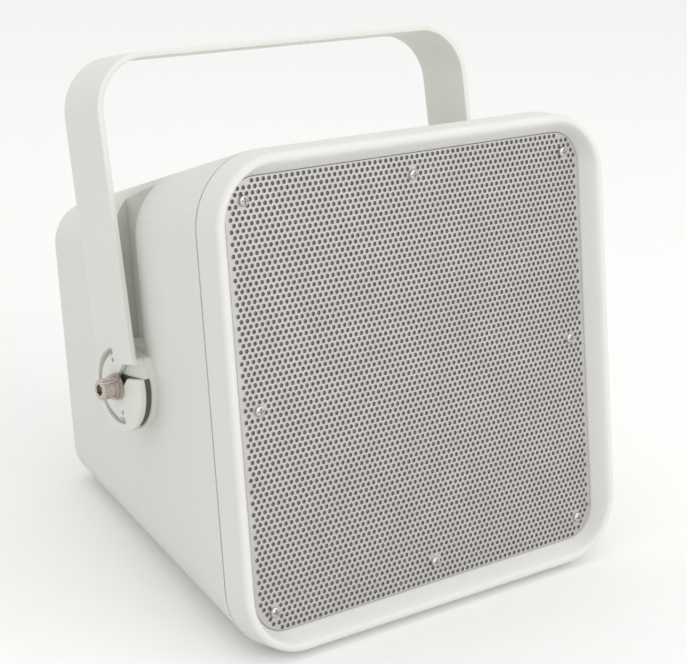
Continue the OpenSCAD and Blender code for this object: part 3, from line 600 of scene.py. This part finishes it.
class SPEAKER_OT_rim(bpy.types.Operator):
    """Moulded rim: drafted sides, a narrow crest and a soft bead that runs in to the grille"""

    bl_idname = "speaker.rim"
    bl_label = "Moulded Rim"

    def execute(self, context):
        s = sizes()
        half = s.mouth / 2 + s.rim
        inside = s.mouth / 2
        side_half, side_r = half - s.rim_draft, s.corner - s.rim_draft
        rings = [square_ring(half, s.corner, RIM_BACK)]
        for angle in range(0, 91, 10):
            turn = math.radians(angle)
            drawn = s.crest * (1 - math.cos(turn))
            depth = -s.rim_front + s.crest * (1 - math.sin(turn))
            rings.append(square_ring(side_half - drawn, side_r - drawn, depth))
        # The bead: from the crest's flat it swells down and in to the edge of the opening
        crest_half, crest_r = side_half - s.crest - s.crest_flat, side_r - s.crest - s.crest_flat
        for i in range(BEAD_STEPS):
            t = 1 - i / BEAD_STEPS
            out, up = (
                3 * t * (1 - t) ** 2 * near + 3 * t**2 * (1 - t) * far + t**3
                for near, far in BEAD_PULL
            )
            rings.append(
                square_ring(
                    inside + out * (crest_half - inside),
                    s.mouth_corner + out * (crest_r - s.mouth_corner),
                    -s.rim_front * up,
                )
            )
        opening = square_ring(inside, s.mouth_corner, OPENING_EDGE)
        rings += [opening, square_ring(inside, s.mouth_corner, LEDGE)]
        ledge = [(x, LEDGE, z) for x, y, z in round_ring(HORN_HOLE, opening)]
        rings += [ledge, [(x, LEDGE_BACK, z) for x, y, z in ledge]]
        rings += [
            square_ring(inside - SKIRT_IN, s.mouth_corner + SKIRT_CORNER, depth)
            for depth in (LEDGE_BACK, RIM_BACK)
        ]
        points, faces = lofted(rings)
        put_piece(
            "moulded_rim", points, faces, SEAT, "moulded_asa", CABINET, ["front_frame"]
        )
        return {"FINISHED"}


class SPEAKER_OT_sheet(bpy.types.Operator):
    """Perforated sheet: round holes on a 60 degree pattern, left whole under the screws"""

    bl_idname = "speaker.sheet"
    bl_label = "Perforated Sheet"

    def execute(self, context):
        s = sizes()
        half, corner = s.mouth / 2 - SHEET_PLAY, s.mouth_corner - SHEET_PLAY
        screws = screw_places()
        # Each hole has the area of the round one
        facet = 2 * math.pi / HOLE_FACETS
        reach = s.hole / 2 * math.sqrt(math.pi / (HOLE_FACETS / 2 * math.sin(facet)))
        border = [(x, z) for x, y, z in square_ring(half, corner, 0, side=1)]
        points = [Vector(p) for p in border]
        edges = [(i, (i + 1) % len(border)) for i in range(len(border))]
        # The number of the hole that each point is on, and none for the border's points
        owner = [0] * len(border)
        edge_gap = s.hole / 2 + SHEET_EDGE
        row = s.pitch * math.sqrt(3) / 2
        rows, across = int(half / row) + 1, int(half / s.pitch) + 1
        holes = 0
        for j in range(-rows, rows + 1):
            for i in range(-across, across + 1):
                x, z = (i + 0.5 * (j % 2)) * s.pitch, (j + 0.5) * row
                bx, bz = abs(x) - (half - corner), abs(z) - (half - corner)
                outward = math.hypot(bx, bz) if bx > 0 and bz > 0 else max(bx, bz)
                if outward > corner - edge_gap:
                    continue
                if any(math.hypot(x - sx, z - sz) < SCREW_PATCH for sx, sz in screws):
                    continue
                first = len(points)
                holes += 1
                for k in range(HOLE_FACETS):
                    angle = facet * (k + 0.5)
                    points.append(Vector((x + reach * math.cos(angle), z + reach * math.sin(angle))))
                    edges.append((first + k, first + (k + 1) % HOLE_FACETS))
                    owner.append(holes)
        # What has all its corners on one hole's edge lies in that hole, and is left out
        web = [
            f
            for f in delaunay_2d_cdt(points, edges, [], 1, CLOSE)[2]
            if owner[f[0]] == 0 or not owner[f[0]] == owner[f[1]] == owner[f[2]]
        ]
        count = len(points)
        solid = [(p.x, 0, p.y) for p in points] + [(p.x, s.sheet, p.y) for p in points]
        faces = [tuple(f) for f in web] + [tuple(count + i for i in reversed(f)) for f in web]
        faces += [(a, b, count + b, count + a) for a, b in edges]
        put_piece(
            "perforated_sheet", solid, faces, SEAT, "stainless_sheet", CABINET, ["grille"]
        )
        return {"FINISHED"}


class SPEAKER_OT_screws(bpy.types.Operator):
    """Grille screws: pan heads with a cross recess"""

    bl_idname = "speaker.screws"
    bl_label = "Grille Screws"

    def execute(self, context):
        s = sizes()
        radius = s.head / 2
        around, rows = 48, 14
        turns = [2 * math.pi * i / around for i in range(around)]
        ring = [(math.cos(turn), math.sin(turn)) for turn in turns]
        points, faces = [], []
        for sx, sz in screw_places():
            first = len(points)
            # From the seat up the side, over the rounded edge, and in across the recess to the middle
            for j in range(rows + 1):
                share = 1 - j / rows
                dome = math.sqrt(1 - PAN_ROUND * share**4) - (PAN_TURN if j == 0 else 0)
                for across, up in ring:
                    x, z = across * radius * share, up * radius * share
                    groove = min(abs(x), abs(z)) / CROSS_HALF
                    reach = max(abs(x), abs(z)) / (CROSS_REACH * radius)
                    cut = max(0.0, min(1.0, 3 * (1 - groove))) * max(0.0, min(1.0, 4 * (1 - reach)))
                    depth = CROSS_DEPTH * cut - PAN_HEIGHT * dome
                    points.append((sx + x, depth, sz + z))
            seat = len(points)
            points += [(sx + radius * x, 0.0, sz + radius * z) for x, z in ring]
            for i in range(around):
                k = (i + 1) % around
                faces.append((seat + i, seat + k, first + k, first + i))
                for j in range(rows):
                    a, b = first + j * around, first + (j + 1) * around
                    faces.append((a + i, a + k, b + k, b + i))
            faces.append(tuple(reversed(range(seat, seat + around))))
        put_piece(
            "cross_pan_heads", points, faces, SEAT, "stainless_small", CABINET,
            ["grille_screws"], sharp=50.0,
        )
        return {"FINISHED"}


def arc(radius, start, end, steps, centre=(0.0, 0.0)):
    """Points along an arc, from one end to the other."""
    turns = [start + (end - start) * i / steps for i in range(steps + 1)]
    return [
        Vector((centre[0] + radius * math.cos(a), centre[1] + radius * math.sin(a))) for a in turns
    ]


def circle(radius, steps, centre=(0.0, 0.0)):
    """Points round a whole circle, each once."""
    return arc(radius, 0, 2 * math.pi * (steps - 1) / steps, steps - 1, centre)


def strap_plan():
    """The strap's neutral line: its length up an arm, round a bend and in all, the radius of its
    bends and how far out their centres stand."""
    s = sizes()
    top = (Vector(STUD["pos_m"]) - PIVOT).length / MM + s.strap_t / 2
    neutral = s.bend - s.strap_t / 2
    centre = s.mouth / 2 + s.rim - ARM_INSET - s.bend
    arm, turn = top - s.bend, neutral * math.pi / 2
    return SimpleNamespace(
        arm=arm, turn=turn, total=2 * (arm + turn + centre), neutral=neutral, centre=centre
    )


def round_end():
    """Outline of one round end with its hook slot, across the strap and along it from the pivot,
    from the rear edge round to the front edge."""
    s = sizes()
    half = s.strap_w / 2
    neck = math.sqrt(s.disc**2 - half**2)
    hole, lean = PIVOT_HOLE, math.radians(HOOK_LEAN)
    along = Vector((math.cos(lean), math.sin(lean)))
    beside = Vector((math.sin(lean), -math.cos(lean)))
    knee = along * HOOK_LEG
    low, high = knee.y - hole, knee.y + hole
    jaw = along * ((low - hole * math.cos(lean)) / along.y) - beside * hole
    end = [Vector((half, neck))]
    # Round the disc to the slot's lower jaw
    end += arc(s.disc, math.atan2(neck, half), -math.pi - math.asin(low / s.disc), 72)
    # In along the slot, round the pivot, and out again past the knee
    end.append(jaw)
    end += arc(hole, lean + math.pi / 2, lean + 3 * math.pi / 2, 20)
    end += arc(hole, lean - math.pi / 2, math.pi / 2, 8, knee)
    # From the upper jaw to the front edge
    end += arc(s.disc, math.pi - math.asin(high / s.disc), math.pi - math.atan2(neck, half), 6)
    return end


def strap_cuts(total):
    """The arc slots and index holes of both round ends, and the top bar's holes."""
    low_end, high_end = math.radians(ARC_TURN - ARC_SWEEP), math.radians(ARC_TURN + ARC_SWEEP)
    low_way = Vector((math.cos(low_end), math.sin(low_end)))
    high_way = Vector((math.cos(high_end), math.sin(high_end)))
    slot = arc(ARC_R + ARC_W / 2, low_end, high_end, 48)
    slot += arc(ARC_W / 2, high_end, high_end + math.pi, 10, high_way * ARC_R)[1:-1]
    slot += arc(ARC_R - ARC_W / 2, high_end, low_end, 48)
    slot += arc(ARC_W / 2, low_end + math.pi, low_end + 2 * math.pi, 10, low_way * ARC_R)[1:-1]
    cuts = [slot, *(circle(INDEX_R, 24, way * INDEX_PLACE) for way in (high_way, low_way))]
    cuts += [[Vector((p.x, total - p.y)) for p in cut] for cut in cuts]
    cuts += [circle(radius, 48, (0, total / 2 + offset)) for offset, radius in BAR_HOLES]
    return cuts


def flat_strap(loops):
    """Mesh of the flat strap with the paint's rounded edges: an outline and what is cut out."""
    s = sizes()
    curve = bpy.data.curves.new("flat_strap", "CURVE")
    curve.dimensions, curve.fill_mode = "2D", "BOTH"
    curve.extrude, curve.bevel_depth = (s.strap_t / 2 - s.edge) * MM, s.edge * MM
    curve.offset, curve.bevel_resolution = -s.edge * MM, 2
    for loop in loops:
        spline = curve.splines.new("POLY")
        spline.points.add(len(loop) - 1)
        for point, p in zip(spline.points, loop):
            point.co = (p.x * MM, p.y * MM, 0, 1)
        spline.use_cyclic_u = True
    flat = bpy.data.objects.new("flat_strap", curve)
    mesh = bpy.data.meshes.new_from_object(flat)
    bpy.data.objects.remove(flat)
    return mesh


def bent(plan, flat):
    """Where a point of the flat strap comes to lie, in the bracket's own frame."""
    across, along, thick = flat
    side = -1 if along <= plan.total / 2 else 1
    run = along if side < 0 else plan.total - along
    if run <= plan.arm:
        x, z = plan.centre + plan.neutral + thick, run
    elif run <= plan.arm + plan.turn:
        angle = (run - plan.arm) / plan.neutral
        x = plan.centre + (plan.neutral + thick) * math.cos(angle)
        z = plan.arm + (plan.neutral + thick) * math.sin(angle)
    else:
        x, z = plan.centre - (run - plan.arm - plan.turn), plan.arm + plan.neutral + thick
    return Vector((side * x, across, z))


class SPEAKER_OT_bracket(bpy.types.Operator):
    """Steel bracket: one strap, cut and punched flat, then bent twice and powder coated"""

    bl_idname = "speaker.bracket"
    bl_label = "Bent Bracket"

    def execute(self, context):
        plan = strap_plan()
        end = round_end()
        outline = end + [Vector((p.x, plan.total - p.y)) for p in reversed(end)]
        mesh = flat_strap([outline, *strap_cuts(plan.total)])
        work = bmesh.new()
        work.from_mesh(mesh)
        bmesh.ops.remove_doubles(work, verts=work.verts, dist=WELD * MM)
        # Cut across where it bends, then bend
        for zone in (plan.arm, plan.total - plan.arm - plan.turn):
            for i in range(BEND_STEPS + 1):
                bmesh.ops.bisect_plane(
                    work,
                    geom=work.verts[:] + work.edges[:] + work.faces[:],
                    plane_co=(0, (zone + plan.turn * i / BEND_STEPS) * MM, 0),
                    plane_no=(0, 1, 0),
                )
        for vert in work.verts:
            vert.co = HANG @ (bent(plan, vert.co / MM) * MM)
        turn_outward(work)
        work.to_mesh(mesh)
        work.free()
        mesh.name = "bent_strap"
        dress_mesh(
            "bent_strap", mesh, "powder_coat", BRACKET, ["bracket"], sharp=40.0
        )
        return {"FINISHED"}


class SPEAKER_OT_finishes(bpy.types.Operator):
    """Gives every CAD node that stays its own procedural finish"""

    bl_idname = "speaker.finishes"
    bl_label = "CAD Finishes"

    def execute(self, context):
        make_materials()
        for name, node in frame["nodes"].items():
            node.data.materials.clear()
            node.data.materials.append(MATERIALS[NODE_FINISH[name]])
        return {"FINISHED"}


def light_world(scene):
    """Even light from all round, and the white that the camera and the metal see."""
    world = bpy.data.worlds.new("studio")
    scene.world = world
    world.use_nodes = True
    tree = world.node_tree
    tree.nodes.clear()
    rays = add_node(tree, "ShaderNodeLightPath")
    seen = add_node(
        tree,
        "ShaderNodeMath",
        {"operation": "MAXIMUM"},
        {0: rays.outputs["Is Camera Ray"], 1: rays.outputs["Is Glossy Ray"]},
    )
    seen = add_node(
        tree,
        "ShaderNodeMath",
        {"operation": "MAXIMUM"},
        {0: seen.outputs[0], 1: rays.outputs["Is Transmission Ray"]},
    )
    level = add_node(
        tree,
        "ShaderNodeMapRange",
        {"To Min": AMBIENT, "To Max": BACKGROUND},
        {"Value": seen.outputs[0]},
    )
    light = add_node(
        tree, "ShaderNodeBackground", {"Color": linear(PAPER_WHITE)}, {"Strength": level.outputs[0]}
    )
    add_node(tree, "ShaderNodeOutputWorld", (), {"Surface": light.outputs[0]})


def lay_floor(scene):
    """A wide floor of white paper that keeps the speaker's shadow."""
    floor_mesh = bpy.data.meshes.new("floor")
    reach = FLOOR_REACH
    corners = [(-reach, -reach, 0), (reach, -reach, 0), (reach, reach, 0), (-reach, reach, 0)]
    floor_mesh.from_pydata(corners, [], [(0, 1, 2, 3)])
    floor = bpy.data.objects.new("floor", floor_mesh)
    scene.collection.objects.link(floor)

    paper, tree, place = new_material("white_paper_floor")
    rays = add_node(tree, "ShaderNodeLightPath")
    grain = add_node(
        tree,
        "ShaderNodeTexNoise",
        {"Scale": 1 / (PAPER_GRAIN * MM), "Detail": 2.0},
        {"Vector": place},
    )
    tone = add_node(
        tree,
        "ShaderNodeMix",
        {"data_type": "RGBA", 6: linear(PAPER_TONES[0]), 7: linear(PAPER_TONES[1])},
        {0: grain.outputs["Fac"]},
    )
    surface = add_node(tree, "ShaderNodeBsdfDiffuse", (), {"Color": tone.outputs[2]})
    lift = add_node(
        tree, "ShaderNodeEmission", {"Color": linear(PAPER_WHITE), "Strength": FLOOR_LIFT}
    )
    both = add_node(tree, "ShaderNodeAddShader", (), {0: surface.outputs[0], 1: lift.outputs[0]})
    shown = add_node(
        tree,
        "ShaderNodeMixShader",
        (),
        {0: rays.outputs["Is Camera Ray"], 1: surface.outputs[0], 2: both.outputs[0]},
    )
    add_node(tree, "ShaderNodeOutputMaterial", (), {"Surface": shown.outputs[0]})
    floor_mesh.materials.append(paper)


def hang_lamps(scene):
    """Round softboxes that face the middle of the speaker."""
    for name, spot, size, power in LAMPS:
        lamp = bpy.data.lights.new(name, "AREA")
        lamp.shape, lamp.size, lamp.energy = "DISK", size, power
        holder = bpy.data.objects.new(name, lamp)
        scene.collection.objects.link(holder)
        holder.location = spot
        holder.rotation_mode = "QUATERNION"
        holder.rotation_quaternion = (AIM - Vector(spot)).to_track_quat("-Z", "Y")


def place_camera(scene):
    """The camera where the photograph was taken from."""
    camera = bpy.data.cameras.new("camera")
    camera.sensor_width, camera.sensor_fit, camera.lens = SENSOR, "HORIZONTAL", LENS
    camera.clip_start, camera.clip_end = CLIP_START, CLIP_END
    holder = bpy.data.objects.new("camera", camera)
    scene.collection.objects.link(holder)
    back = -VIEW_FORWARD.normalized()
    right = VIEW_UP.cross(back).normalized()
    turned = Matrix((right, back.cross(right), back)).transposed()
    holder.matrix_world = Matrix.Translation(VIEW_FROM) @ turned.to_4x4()
    scene.camera = holder


class SPEAKER_OT_studio(bpy.types.Operator):
    """Pale floor, soft light from all round and the camera at the photograph's angle"""

    bl_idname = "speaker.studio"
    bl_label = "Studio"

    def execute(self, context):
        context.scene.view_settings.view_transform = "Standard"
        for step in (light_world, lay_floor, hang_lamps, place_camera):
            step(context.scene)
        return {"FINISHED"}


STEPS = ["finishes", "rim", "sheet", "screws", "bracket", "studio"]


class SPEAKER_PT_panel(bpy.types.Panel):
    """Lists the sizes, the colours and a button for each piece"""

    bl_idname = "SPEAKER_PT_panel"
    bl_label = "Horn Speaker"
    bl_space_type = "VIEW_3D"
    bl_region_type = "UI"
    bl_category = "Horn Speaker"

    def draw(self, context):
        scene = context.scene
        for group in (scene.speaker_sizes, scene.speaker_colours):
            for name in group.__annotations__:
                self.layout.prop(group, name)
        for step in STEPS:
            self.layout.operator("speaker." + step)


CLASSES = [
    SpeakerSizes,
    SpeakerColours,
    SPEAKER_OT_finishes,
    SPEAKER_OT_rim,
    SPEAKER_OT_sheet,
    SPEAKER_OT_screws,
    SPEAKER_OT_bracket,
    SPEAKER_OT_studio,
    SPEAKER_PT_panel,
]


def register():
    for cls in CLASSES:
        bpy.utils.register_class(cls)
    bpy.types.Scene.speaker_sizes = PointerProperty(type=SpeakerSizes)
    bpy.types.Scene.speaker_colours = PointerProperty(type=SpeakerColours)


def unregister():
    del bpy.types.Scene.speaker_colours
    del bpy.types.Scene.speaker_sizes
    for cls in reversed(CLASSES):
        bpy.utils.unregister_class(cls)


def main():
    register()
    for step in STEPS:
        getattr(bpy.ops.speaker, step)()


if __name__ == "__main__":
    main()
